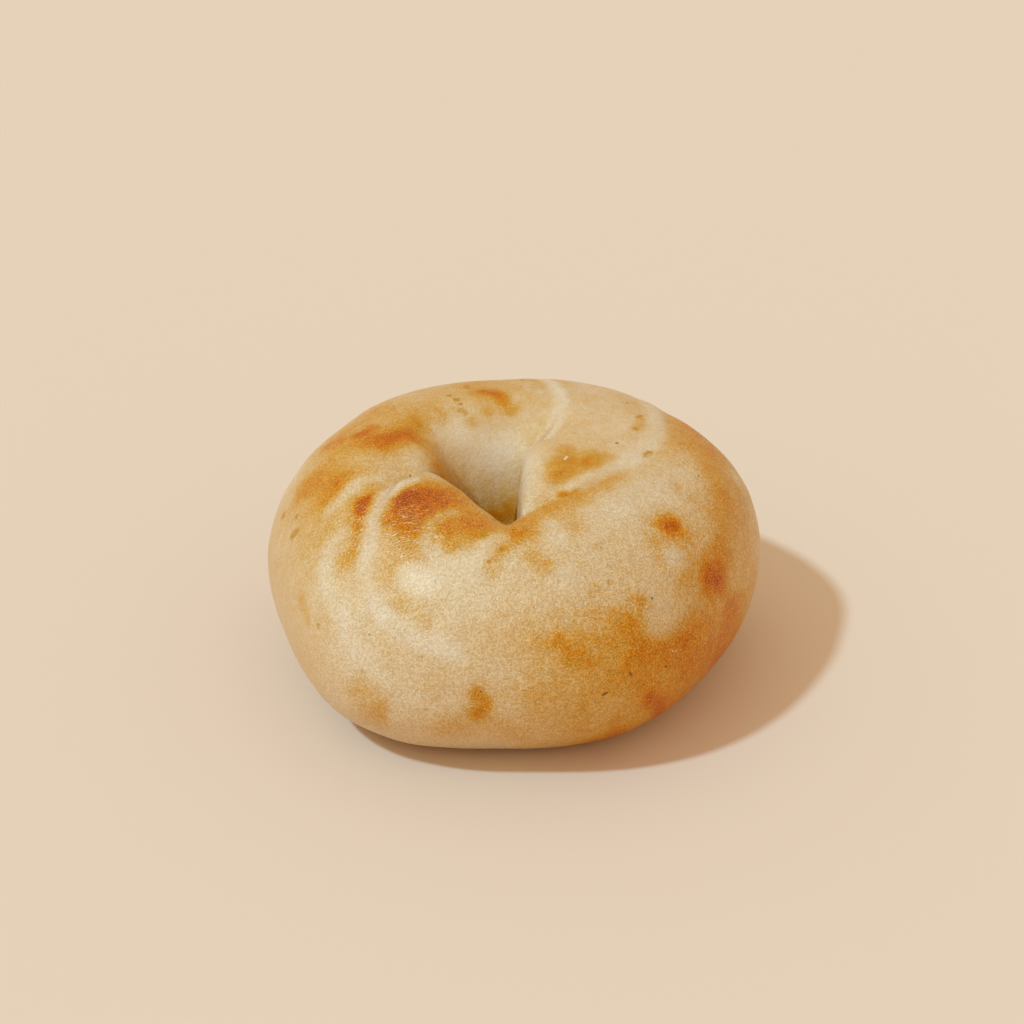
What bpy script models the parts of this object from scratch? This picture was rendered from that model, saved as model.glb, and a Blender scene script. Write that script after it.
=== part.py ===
"""A mini bagel: one plump ring of dough, folded into a small three-cornered hole, with a flat foot.

Blender 4.5 script, in metres, +Z up. The origin is on the surface that the bagel rests on, under the
middle of the bagel's length and breadth. The notch in the rim of the hole is on the -Y side.

A place on the dough is given by two angles in degrees: the ring angle goes round the hole from +X
towards +Y, and the tube angle goes round the dough from 0 at the outer side over 90 at the top and
180 inside the hole to 270 underneath.
"""

import bpy
import numpy as np

MM = 0.001

# Driving sizes of the ring
OUTER_RADIUS = 34.0 * MM
HEIGHT = 32.6 * MM
WAIST_HEIGHT = 14.5 * MM
CREST_SHARE = 0.5
FAR_SIDE_HIGHER = 1.0 * MM
TOP_ROUNDNESS = 2.05

# The outline's unevenness: waves round the ring with their cosine and sine parts, then single bumps
# with their ring angle
OUTLINE_WAVES = [
    (2, 0.60 * MM, 0.85 * MM),
    (3, 0.25 * MM, 0.35 * MM),
    (4, -0.45 * MM, -0.10 * MM),
    (5, 0.15 * MM, 0.30 * MM),
    (6, 0.30 * MM, 0.0),
    (7, -0.20 * MM, 0.15 * MM),
]
OUTLINE_BUMPS = [(10, 0.25 * MM), (268, -0.30 * MM), (300, 0.32 * MM), (332, -0.30 * MM)]
BUMP_SPREAD = 11

# The hole: the middle of its throat, the throat's radius by ring angle, and how much wider it is in the
# corner past the valley, by degrees past it
THROAT_X = -4.2 * MM
THROAT_Y = -2.1 * MM
THROAT_RADII = [
    (-75, 8.6 * MM), (-60, 7.4 * MM), (-49, 5.7 * MM), (-33, 4.6 * MM), (-11, 4.2 * MM), (12, 4.6 * MM),
    (30, 5.2 * MM), (48, 5.5 * MM), (66, 5.2 * MM), (90, 4.6 * MM), (120, 4.1 * MM), (145, 4.1 * MM),
    (165, 4.2 * MM), (185, 3.7 * MM), (205, 3.0 * MM), (225, 2.4 * MM), (245, 2.4 * MM), (260, 3.4 * MM),
    (272, 5.6 * MM), (285, 8.6 * MM),
]
POCKET = [(-4, 0), (-2, 0), (0, 0.9 * MM), (8, 1.0 * MM), (20, 0.6 * MM), (36, 0.2 * MM), (52, 0), (66, 0)]

# The flat foot, from its rim under the outer side to its rim round the hole
FOOT_SHARE = 0.70
FOOT_HOLE_RADIUS = 9.5 * MM
FOOT_TUBE_ANGLE = 66
FOOT_ARC = 70

# How square the wall of the hole is: a funnel at the far side, then what is added at the right, by degrees
# past the valley, and at the left, by ring angle
FUNNEL_ROUNDNESS = 1.75
RIGHT_SHELF = [(0, 0), (3, 2.4), (10, 3.6), (70, 3.6), (100, 3.2), (120, 1.5), (140, 0.4), (155, 0), (170, 0)]
LEFT_SHELF = [
    (88, 0), (108, 0), (130, 0.5), (146, 2.0), (162, 3.5), (190, 4.4), (225, 5.2), (245, 5.2), (265, 4.3),
    (285, 3.3), (305, 1.8), (325, 0), (340, 0),
]

# Lines on the dough, each a list of tube angle and ring angle
VALLEY = [(170, 46), (150, 46), (135, 47), (125, 48), (118, 49), (110, 50), (100, 50), (93, 54), (85, 62), (80, 68)]
LEFT_FOLD = [
    (165, 160), (140, 165), (125, 173), (115, 188), (105, 197.5), (94, 211), (84, 217.5), (74, 221), (63, 225),
    (52, 229), (38, 236), (28, 244), (14, 263), (0, 280),
]
NEAR_FOLD = [
    (150, 288), (135, 288), (122, 290), (114, 296), (109, 303), (106.5, 312), (104.5, 319.5), (102.5, 324.5),
    (100.5, 329), (98, 334), (94.5, 343), (90.5, 351), (86, 358), (81, 366), (75, 376), (64, 389), (50, 399),
    (30, 412), (0, 430),
]
FAR_FOLD = [
    (165, 48), (135, 49), (125, 50), (114, 50), (108, 50), (100, 50), (93, 54), (85, 62), (78, 70), (67, 79),
    (50, 92), (25, 112), (0, 130),
]

# The notch in the near rim of the hole, the first as a list of tube angle and ring angle
NOTCH = [(80, 272), (90, 276), (100, 281), (112, 287), (125, 290), (180, 290)]
NOTCH_DEPTH = 3.2 * MM
NOTCH_REACH = 2.3 * MM
NOTCH_ROUNDING = 0.45 * MM

# Fineness of the faceted solid, and the tube radius that turns tube angles into lengths
RING_STEPS = 94
TUBE_STEPS = 60
TUBE_RADIUS = 15 * MM
SMALLEST_RING = 4 * MM


def smooth(start, end, x):
    """Rises from 0 at start to 1 at end, level at both ends."""
    t = np.clip((x - start) / (end - start), 0, 1)
    return t * t * (3 - 2 * t)


def turn(degrees):
    """The same angle between -180 and 180."""
    return (degrees + 180) % 360 - 180


def follow(line, tube):
    """Ring angle, and its slope, where a line on the dough passes a tube angle."""
    at, angle = np.array(sorted(line), float).T
    lean = np.gradient(angle, at)
    tube = np.clip(tube, at[0], at[-1])
    k = np.clip(np.searchsorted(at, tube) - 1, 0, len(at) - 2)
    step = at[k + 1] - at[k]
    t = (tube - at[k]) / step
    start, end = angle[k], angle[k + 1]
    leave, arrive = lean[k] * step, lean[k + 1] * step
    value = start + t * leave + t**2 * (3 * (end - start) - 2 * leave - arrive)
    value += t**3 * (2 * (start - end) + leave + arrive)
    slope = leave + 2 * t * (3 * (end - start) - 2 * leave - arrive)
    slope += 3 * t**2 * (2 * (start - end) + leave + arrive)
    return value, slope / step


def outer_radius(ring):
    """Radius of the waist, the widest line round the outside."""
    angle = np.radians(ring)
    radius = np.full_like(ring, OUTER_RADIUS)
    for count, cosine, sine in OUTLINE_WAVES:
        radius += cosine * np.cos(count * angle) + sine * np.sin(count * angle)
    for place, bump in OUTLINE_BUMPS:
        radius += bump * np.exp(-(turn(ring - place) / BUMP_SPREAD) ** 2)
    return radius


def throat_radius(ring, tube):
    """Radius of the throat about its own middle, with the pocket that the right lobe hides."""
    past_valley = follow(VALLEY, tube)[0] - turn(ring)
    return follow(THROAT_RADII, (ring + 75) % 360 - 75)[0] + follow(POCKET, past_valley)[0]


def throat_share(tube):
    """How far a tube angle's circle has moved from the ring's middle to the throat's."""
    return smooth(50, 125, tube) * np.clip((270 - tube) / (90 - FOOT_TUBE_ANGLE), 0, 1)


def wall_roundness(ring, tube):
    """Exponent of the hole's wall. It jumps up at the valley and at the brink of the left fold."""
    crisp = smooth(104, 126, tube)
    past_valley = follow(VALLEY, tube)[0] - turn(ring)
    right = follow(RIGHT_SHELF, past_valley)[0] * (crisp + (1 - crisp) * smooth(0, 40, past_valley))
    deep = smooth(100, 126, tube)
    left = follow(LEFT_SHELF, ring % 360)[0] * (deep + (1 - deep) * smooth(130, 180, ring % 360))
    return FUNNEL_ROUNDNESS + right + left


def upper_section(ring, tube):
    """Radius and height of the dough above the waist."""
    angle = np.radians(ring)
    crest_radius = CREST_SHARE * outer_radius(ring)
    top = HEIGHT + FAR_SIDE_HIGHER * np.sin(angle)
    cosine, sine = np.cos(np.radians(tube)), np.sin(np.radians(tube))
    outside = cosine >= 0
    reach = np.where(outside, outer_radius(ring) - crest_radius, crest_radius - throat_radius(ring, tube))
    power = np.where(outside, TOP_ROUNDNESS, wall_roundness(ring, tube))
    size = (np.abs(cosine) / reach) ** power + (np.abs(sine) / (top - WAIST_HEIGHT)) ** power
    distance = size ** (-1 / power)
    return crest_radius + distance * cosine, WAIST_HEIGHT + distance * sine


def lower_section(ring, tube):
    """Radius and height below the waist: an arc in to the foot's rim, then the flat foot."""
    crest_radius = CREST_SHARE * outer_radius(ring)
    outside = np.cos(np.radians(tube)) >= 0
    side = np.where(outside, outer_radius(ring), throat_radius(ring, 180))
    rim = np.where(outside, FOOT_SHARE * outer_radius(ring), FOOT_HOLE_RADIUS)
    down = np.minimum(np.abs(turn(tube)), 180 - np.abs(turn(tube)))
    arc = np.radians(np.minimum(down / FOOT_TUBE_ANGLE, 1) * FOOT_ARC)
    last = np.radians(FOOT_ARC)
    drawn_in = (1 - np.cos(arc)) / (1 - np.cos(last))
    under = np.clip((down - FOOT_TUBE_ANGLE) / (90 - FOOT_TUBE_ANGLE), 0, 1)
    radius = side + (rim - side) * drawn_in + (crest_radius - rim) * under
    return radius, WAIST_HEIGHT * (1 - np.sin(arc) / np.sin(last))


def section(ring, tube):
    """Radius and height of the plain ring, before its folds."""
    tube = tube % 360
    above = (tube > 0) & (tube < 180)
    upper, lower = upper_section(ring, tube), lower_section(ring, tube)
    return np.where(above, upper[0], lower[0]), np.where(above, upper[1], lower[1])


def off_line(line, ring, tube, radius):
    """Distance from a line on the dough, positive on the side of larger ring angles."""
    angle, slope = follow(line, tube)
    gap = np.radians(turn(ring - angle))
    steepness = np.sqrt(1 / np.maximum(radius, SMALLEST_RING) ** 2 + (slope / TUBE_RADIUS) ** 2)
    return gap / steepness


def crease(line, ring, tube, radius, width, other_width=None):
    """1 along a line, falling off over the first width towards larger ring angles, else over the other."""
    off = off_line(line, ring, tube, radius)
    return np.exp(-np.abs(off) / np.where(off > 0, width, other_width or width))


def folds(ring, tube, radius):
    """How far the folds and the notch sink the surface."""
    tube = tube % 360
    in_hole = 1 - smooth(150, 200, tube)
    across = np.radians(turn(ring - follow(NOTCH, tube)[0])) * radius
    notch = np.exp(-np.hypot(across, NOTCH_ROUNDING) / NOTCH_REACH)
    sunk = NOTCH_DEPTH * notch * smooth(84, 112, tube) * in_hole
    near_depth = 0.2 * MM + 0.3 * MM * smooth(70, 96, tube) + 1.3 * MM * smooth(88, 114, tube)
    near_reach = smooth(20, 70, tube) * (1 - smooth(135, 160, tube))
    sunk += near_depth * near_reach * crease(NEAR_FOLD, ring, tube, radius, 2.2 * MM, 0.9 * MM)
    sunk += 0.35 * MM * smooth(0, 70, tube) * in_hole * crease(LEFT_FOLD, ring, tube, radius, 1.4 * MM)
    gutter = 0.9 * MM * smooth(86, 112, tube) * in_hole
    sunk += gutter * crease(LEFT_FOLD, ring, tube, radius, 1.0 * MM, 3.4 * MM)
    sunk += 0.3 * MM * smooth(40, 100, tube) * in_hole * crease(FAR_FOLD, ring, tube, radius, 1.2 * MM)
    return sunk


def dough(ring, tube):
    """The point of the surface at a ring angle and a tube angle."""
    radius, height = section(ring, tube)
    before = section(ring, tube - 0.5)
    after = section(ring, tube + 0.5)
    out, up = after[1] - before[1], before[0] - after[0]
    length = np.hypot(out, up)
    sunk = folds(ring, tube, radius)
    radius = radius - sunk * out / length
    height = np.maximum(height - sunk * up / length, 0)
    angle, share = np.radians(ring), throat_share(tube % 360)
    x = radius * np.cos(angle) + THROAT_X * share
    y = radius * np.sin(angle) + THROAT_Y * share
    return np.stack([x, y, height], axis=-1)


def middle_of(points):
    """The middle of the bagel's length and breadth, at the height of its foot."""
    middle = (points.min(axis=0) + points.max(axis=0)) / 2
    return middle * (1, 1, 0)


def clear_scene():
    for thing in list(bpy.data.objects):
        bpy.data.objects.remove(thing, do_unlink=True)


def crust_material():
    """Pale golden crust with a soft gloss."""
    material = bpy.data.materials.new("bagel_crust")
    material.use_nodes = True
    shader = material.node_tree.nodes["Principled BSDF"]
    shader.inputs["Base Color"].default_value = (0.62, 0.42, 0.20, 1)
    shader.inputs["Roughness"].default_value = 0.5
    shader.inputs["Metallic"].default_value = 0
    return material


def make_bagel():
    """A torus whose points are moved onto the dough's surface."""
    ring_radius = CREST_SHARE * OUTER_RADIUS
    bpy.ops.mesh.primitive_torus_add(
        major_segments=RING_STEPS,
        minor_segments=TUBE_STEPS,
        major_radius=ring_radius,
        minor_radius=ring_radius / 2,
    )
    bagel = bpy.context.object
    bagel.name = "bagel"
    mesh = bagel.data
    mesh.name = "bagel"
    points = np.empty(len(mesh.vertices) * 3)
    mesh.vertices.foreach_get("co", points)
    x, y, z = points.reshape(-1, 3).T
    ring = np.degrees(np.arctan2(y, x)) % 360
    tube = np.degrees(np.arctan2(z, np.hypot(x, y) - ring_radius)) % 360
    # The torus stores short numbers, and the foot's rim needs its whole angles back
    tube = np.round(tube * TUBE_STEPS / 360) * 360 / TUBE_STEPS
    points = dough(ring, tube)
    points -= middle_of(points)
    mesh.vertices.foreach_set("co", points.ravel())
    mesh.update()
    mesh.shade_smooth()
    mesh.materials.append(crust_material())
    return bagel


def main():
    clear_scene()
    bagel = make_bagel()
    collection = bpy.data.collections.new("mini_bagel")
    bpy.context.scene.collection.children.link(collection)
    for holder in list(bagel.users_collection):
        holder.objects.unlink(bagel)
    collection.objects.link(bagel)


main()
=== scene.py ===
"""The looks of a mini bagel: its folded crust in fine relief, its baked colours, a pale floor, soft light.

A place on the dough is given by two angles in degrees, as in the model of the bagel: the ring angle
goes round the hole from +X towards +Y, and the tube angle goes round the dough from 0 at the outer side
over 90 at the top and 180 inside the hole to 270 underneath.
"""

import math
from types import SimpleNamespace

import bpy
import numpy as np
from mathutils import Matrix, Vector, noise


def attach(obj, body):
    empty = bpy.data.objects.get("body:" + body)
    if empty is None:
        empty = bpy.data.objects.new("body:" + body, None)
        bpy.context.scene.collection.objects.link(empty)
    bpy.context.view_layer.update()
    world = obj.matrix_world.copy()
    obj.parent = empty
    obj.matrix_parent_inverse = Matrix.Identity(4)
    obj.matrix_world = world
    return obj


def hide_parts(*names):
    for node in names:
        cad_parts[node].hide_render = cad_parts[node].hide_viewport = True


MM = 0.001

# Driving sizes of the ring, as in the solid
OUTER_RADIUS = 34.0 * MM
HEIGHT = 32.6 * MM
WAIST_HEIGHT = 14.5 * MM
CREST_SHARE = 0.5
FAR_SIDE_HIGHER = 1.0 * MM
TOP_ROUNDNESS = 2.05
OUTLINE_WAVES = [
    (2, 0.60 * MM, 0.85 * MM),
    (3, 0.25 * MM, 0.35 * MM),
    (4, -0.45 * MM, -0.10 * MM),
    (5, 0.15 * MM, 0.30 * MM),
    (6, 0.30 * MM, 0.0),
    (7, -0.20 * MM, 0.15 * MM),
]
OUTLINE_BUMPS = [(10, 0.25 * MM), (268, -0.30 * MM), (300, 0.32 * MM), (332, -0.30 * MM)]
BUMP_SPREAD = 11
THROAT_X = -4.2 * MM
THROAT_Y = -2.1 * MM
THROAT_RADII = [
    (-75, 8.6 * MM), (-60, 7.4 * MM), (-49, 5.7 * MM), (-33, 4.6 * MM), (-11, 4.2 * MM), (12, 4.6 * MM),
    (30, 5.2 * MM), (48, 5.5 * MM), (66, 5.2 * MM), (90, 4.6 * MM), (120, 4.1 * MM), (145, 4.1 * MM),
    (165, 4.2 * MM), (185, 3.7 * MM), (205, 3.0 * MM), (225, 2.4 * MM), (245, 2.4 * MM), (260, 3.4 * MM),
    (272, 5.6 * MM), (285, 8.6 * MM),
]
FOOT_SHARE = 0.70
FOOT_HOLE_RADIUS = 9.5 * MM
FOOT_TUBE_ANGLE = 66
FOOT_ARC = 70
FUNNEL_ROUNDNESS = 1.75
POCKET = [(-4, 0), (-2, 0), (0, 0.9 * MM), (8, 1.0 * MM), (20, 0.6 * MM), (36, 0.2 * MM), (52, 0), (66, 0)]
RIGHT_SHELF = [
    (0, 0), (3, 2.4), (10, 3.6), (70, 3.6), (100, 3.2), (120, 1.5), (140, 0.4), (155, 0), (170, 0),
]
LEFT_SHELF = [
    (88, 0), (108, 0), (130, 0.5), (146, 2.0), (162, 3.5), (190, 4.4), (225, 5.2), (245, 5.2), (265, 4.3),
    (285, 3.3), (305, 1.8), (325, 0), (340, 0),
]

# Lines on the dough, each a list of tube angle and ring angle
VALLEY = [
    (170, 46), (150, 46), (135, 47), (125, 48), (118, 49), (110, 50), (100, 50), (93, 54), (85, 62),
    (80, 68),
]
LEFT_FOLD = [
    (165, 160), (140, 165), (125, 173), (115, 188), (105, 197.5), (94, 211), (84, 217.5), (74, 221),
    (63, 225), (52, 229), (38, 236), (28, 244), (14, 263), (0, 280),
]
NEAR_FOLD = [
    (150, 288), (135, 288), (122, 290), (114, 296), (109, 303), (106.5, 312), (104.5, 319.5), (102.5, 324.5),
    (100.5, 329), (98, 334), (94.5, 343), (90.5, 351), (86, 358), (81, 366), (75, 376), (64, 389), (50, 399),
    (30, 412), (0, 430),
]
FAR_FOLD = [
    (165, 48), (135, 49), (125, 50), (114, 50), (108, 50), (100, 50), (93, 54), (85, 62), (78, 70), (67, 79),
    (50, 92), (25, 112), (0, 130),
]
NOTCH = [(80, 272), (90, 276), (100, 281), (112, 287), (125, 290), (180, 290)]
NOTCH_DEPTH = 3.2 * MM
NOTCH_REACH = 2.3 * MM
NOTCH_ROUNDING = 0.45 * MM
# How deep the folds are, the near one in three steps towards the hole, and how far their sides reach
NEAR_FOLD_DEPTHS = (0.2 * MM, 0.3 * MM, 1.3 * MM)
NEAR_FOLD_SIDES = (2.2 * MM, 0.9 * MM)
LEFT_FOLD_DEPTH = 0.35 * MM
LEFT_FOLD_SIDE = 1.4 * MM
GUTTER_DEPTH = 0.9 * MM
GUTTER_SIDES = (1.0 * MM, 3.4 * MM)
FAR_FOLD_DEPTH = 0.3 * MM
FAR_FOLD_SIDE = 1.2 * MM
TUBE_RADIUS = 15 * MM
SMALLEST_RING = 4 * MM

# The solid's own fineness, which places its middle, and the finer mesh of the crust: steps round the ring,
# then tube angles with the number of steps up to each, closest together at the folds
SOLID_RING_STEPS = 94
SOLID_TUBE_STEPS = 60
RING_STEPS = 480
TUBE_STOPS = [(-54, 0), (-6, 24), (66, 46), (96, 28), (150, 58), (210, 22), (306, 26)]
# Degrees to each side of a point over which the slope of a section and of the dough is taken
SECTION_STEP = 0.5
DOUGH_STEP = 0.4

# Strokes painted on the crust: each has a strength, a half width and its line of ring and tube angles
BROWNED_AND_PAINTED_SHADE = [
    # Upper left, the darkest patch and what trails off below it
    (0.40, 4.6 * MM, [(217, 110), (224, 103), (229, 94)]),
    (0.42, 2.4 * MM, [(216, 108), (221, 103), (225, 95), (227, 87)]),
    (0.80, 1.2 * MM, [(216.5, 107), (218.5, 102), (221, 96)]),
    (0.42, 3.2 * MM, [(237, 110), (239, 102), (236, 88)]),
    (0.26, 2.8 * MM, [(229, 82), (232, 74), (236, 66), (236, 56)]),
    (0.22, 2.0 * MM, [(238, 80), (239, 70), (241, 63)]),
    (0.40, 1.5 * MM, [(219, 61), (221, 56), (223.5, 51)]),
    # The second patch, the inner face of the left lobe, and small places beside the notch
    (0.34, 2.3 * MM, [(248, 91), (253, 94), (259, 94)]),
    (0.32, 2.3 * MM, [(249, 84), (256, 86), (263, 88)]),
    (0.20, 1.6 * MM, [(263, 90), (268, 84)]),
    (0.38, 1.5 * MM, [(250, 78), (251, 73)]),
    (0.30, 1.7 * MM, [(257, 80), (254, 76)]),
    (0.46, 4.0 * MM, [(238, 119), (252, 113), (266, 105)]),
    (0.16, 3.0 * MM, [(214, 118), (230, 120)]),
    (0.40, 2.2 * MM, [(213, 114), (221, 112)]),
    (0.30, 0.9 * MM, [(269, 73), (267, 70)]),
    (0.30, 1.2 * MM, [(263, 67), (264, 62)]),
    (0.12, 2.4 * MM, [(266, 60), (268, 48), (269, 40)]),
    # Left flank, small patches between the pale bands
    (0.80, 1.4 * MM, [(210, 78), (213, 79), (214, 74)]),
    (0.34, 1.7 * MM, [(211, 76), (213, 70), (215, 63)]),
    (0.34, 1.4 * MM, [(206, 89), (204, 85)]),
    (0.24, 6.0 * MM, [(182, 68), (190, 60)]),
    (0.32, 2.4 * MM, [(184, 59), (183, 50)]),
    (0.30, 2.0 * MM, [(194, 68), (197, 57)]),
    (0.30, 2.4 * MM, [(191, 74), (190, 82)]),
    (0.22, 1.1 * MM, [(193, 13)]),
    (0.30, 0.9 * MM, [(218, 17), (214, 21)]),
    (0.26, 1.7 * MM, [(244, 41), (248, 35)]),
    (0.18, 6.0 * MM, [(208, 48), (198, 34), (188, 40)]),
    # Streaks low on the near side
    (0.42, 0.8 * MM, [(242, 0), (241, -8), (239, -16)]),
    (0.26, 2.2 * MM, [(236, -4), (238, -18)]),
    (0.55, 0.9 * MM, [(262, 4), (264, -3), (262, -10)]),
    (0.22, 2.4 * MM, [(262, 0), (260, -10), (256, -20)]),
    (0.14, 3.0 * MM, [(240, -25), (258, -24), (276, -24)]),
    # Near right rim of the hole, from the notch to the right
    (0.42, 2.2 * MM, [(277, 82), (283, 88), (286, 95)]),
    (0.18, 2.4 * MM, [(274, 80), (284, 86), (287, 98)]),
    (0.34, 1.2 * MM, [(277.5, 67), (281, 61)]),
    (0.34, 2.2 * MM, [(303, 99), (304, 92), (300, 83)]),
    (0.08, 2.4 * MM, [(308, 97), (312, 94)]),
    (0.27, 2.0 * MM, [(311, 103), (322, 101)]),
    (0.45, 2.2 * MM, [(322, 94), (333, 92), (344, 91)]),
    # A thin brown line in the crease, partly painted shade
    (0.50, 0.6 * MM, [(326, 105), (332, 101)]),
    # On the right lobe, beside the hole
    (0.32, 1.9 * MM, [(346, 106), (352, 106), (360, 103)]),
    (0.26, 1.3 * MM, [(359, 101), (364, 96)]),
    (0.34, 1.5 * MM, [(344, 111), (356, 112), (372, 110)]),
    (0.08, 4.0 * MM, [(372, 102), (395, 98), (405, 88)]),
    (0.30, 0.8 * MM, [(382, 82), (391, 75)]),
    # Right flank
    (0.55, 2.9 * MM, [(327, 59), (327, 61)]),
    (0.66, 1.5 * MM, [(327, 60)]),
    (0.32, 1.0 * MM, [(345, 67)]),
    (0.24, 0.8 * MM, [(300, 67)]),
    (0.26, 0.9 * MM, [(316, 61)]),
    (0.16, 2.6 * MM, [(332, 42), (322, 36), (318, 37)]),
    (0.14, 3.6 * MM, [(362, 78), (374, 74)]),
    (0.18, 4.2 * MM, [(351, 52), (357, 56), (362, 61)]),
    (0.07, 4.0 * MM, [(370, 62), (382, 60)]),
    (0.20, 3.0 * MM, [(386, 62), (402, 66)]),
    (0.12, 2.4 * MM, [(340, 41), (352, 46)]),
    (0.36, 2.4 * MM, [(327, 30), (331, 28), (336, 30)]),
    (0.60, 1.8 * MM, [(328, 29), (331, 27)]),
    (0.42, 2.2 * MM, [(334, 11), (336, 5)]),
    (0.36, 0.7 * MM, [(314, 9), (314, 6)]),
    (0.34, 1.2 * MM, [(318.8, 36.5)]),
    (0.42, 1.0 * MM, [(304.2, 38)]),
    (0.20, 1.3 * MM, [(291, 39), (294, 37)]),
    (0.26, 1.0 * MM, [(317, 56), (314, 49)]),
    (0.22, 0.9 * MM, [(292, 49)]),
    (0.14, 1.4 * MM, [(298, 31), (301, 28)]),
    (0.22, 1.4 * MM, [(282, 29), (284, 24)]),
    # Golden veils over the right half, the far rim and the low right side
    (0.12, 9.0 * MM, [(300, 50), (322, 52), (344, 40)]),
    (0.18, 8.0 * MM, [(304, 20), (322, 8), (336, 0)]),
    (0.30, 5.0 * MM, [(318, -24), (335, -22), (352, -16)]),
    (0.24, 5.5 * MM, [(354, 34), (364, 42)]),
    (0.24, 5.0 * MM, [(78, 68), (108, 70), (140, 70), (160, 62)]),
    (0.45, 4.5 * MM, [(300, -46), (322, -42), (345, -38), (368, -36)]),
    # Low on the near right, a broad golden field with darker places
    (0.12, 6.5 * MM, [(284, 30), (283, 18), (282, 0)]),
    (0.14, 3.2 * MM, [(275, 24), (275, 4)]),
    (0.08, 4.0 * MM, [(284, -12), (292, -14)]),
    (0.24, 7.0 * MM, [(296, 8), (306, 6), (316, -4), (328, -12)]),
    (0.20, 4.2 * MM, [(302, 19), (308, 15), (314, 16)]),
    (0.16, 1.8 * MM, [(300, 13), (308, 10)]),
    (0.22, 1.0 * MM, [(283, 19), (287, 17)]),
    (0.22, 1.1 * MM, [(276, 29), (281, 26)]),
    (0.42, 2.4 * MM, [(302, -8), (305, -17), (309, -29)]),
    (0.40, 1.1 * MM, [(303, -12), (307, -21), (309, -31)]),
    (0.34, 2.8 * MM, [(297, -24), (297, -37)]),
    (0.30, 5.5 * MM, [(318, 2), (324, -6), (334, -10)]),
    (0.30, 3.5 * MM, [(287, -28), (294, -36)]),
    (0.22, 3.0 * MM, [(276, -42), (286, -44)]),
    (0.30, 0.6 * MM, [(313, -3), (314, -8)]),
    # The rim and the wall of the hole at the far side, and left of it
    (0.38, 1.2 * MM, [(80, 99), (83, 96), (88, 91), (94, 88), (99, 89)]),
    (0.30, 1.0 * MM, [(87, 91), (95, 88)]),
    (0.12, 2.6 * MM, [(84, 95), (94, 90), (101, 90)]),
    (0.18, 3.2 * MM, [(98, 82), (112, 84)]),
    (0.20, 3.0 * MM, [(148, 73), (162, 69)]),
    (0.22, 3.0 * MM, [(160, 112), (174, 106)]),
    (0.34, 0.8 * MM, [(103, 103)]),
    (0.22, 0.7 * MM, [(117, 101), (121, 96)]),
    (0.20, 0.9 * MM, [(92, 100)]),
    (0.44, 2.9 * MM, [(140, 103), (150, 102), (160, 99), (168, 93)]),
    (0.30, 1.8 * MM, [(153, 101), (162, 98), (166, 94)]),
    (0.22, 5.5 * MM, [(140, 98), (160, 88), (172, 78)]),
    (0.50, 1.2 * MM, [(157, 84), (163, 79)]),
    (0.34, 1.2 * MM, [(166, 67), (166, 60)]),
    # Partly painted shade: the next two strokes darken the hole's far-left corner, which lies in shadow
    (0.30, 3.0 * MM, [(118, 128), (135, 122), (152, 124)]),
    (0.26, 2.0 * MM, [(130, 130), (145, 128), (155, 130)]),
    (0.30, 4.5 * MM, [(60, 142), (80, 142), (100, 142), (114, 140)]),
    (0.42, 1.6 * MM, [(54, 150), (64, 154), (76, 153)]),
    # The far flank, which the photo doesn't show, in the same manner
    (0.40, 4.6 * MM, [(18, 58), (26, 50), (30, 38)]),
    (0.42, 2.2 * MM, [(24, 50), (29, 44)]),
    (0.34, 3.2 * MM, [(52, 40), (62, 34)]),
    (0.44, 1.4 * MM, [(57, 37)]),
    (0.42, 4.2 * MM, [(84, 44), (92, 34), (97, 22)]),
    (0.46, 1.8 * MM, [(88, 38), (93, 30)]),
    (0.32, 3.4 * MM, [(120, 52), (131, 46)]),
    (0.40, 1.5 * MM, [(127, 48)]),
    (0.38, 3.0 * MM, [(148, 26), (156, 14)]),
    (0.28, 5.0 * MM, [(70, 2), (78, -14)]),
    (0.30, 4.0 * MM, [(112, 4), (120, -10)]),
    (0.28, 5.0 * MM, [(20, -4), (34, -18)]),
    (0.26, 4.0 * MM, [(160, -16), (176, -24)]),
    (0.36, 1.0 * MM, [(43, 12), (46, 6)]),
    (0.36, 0.9 * MM, [(104, 62)]),
    (0.34, 0.8 * MM, [(140, 6), (143, -2)]),
]
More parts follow.
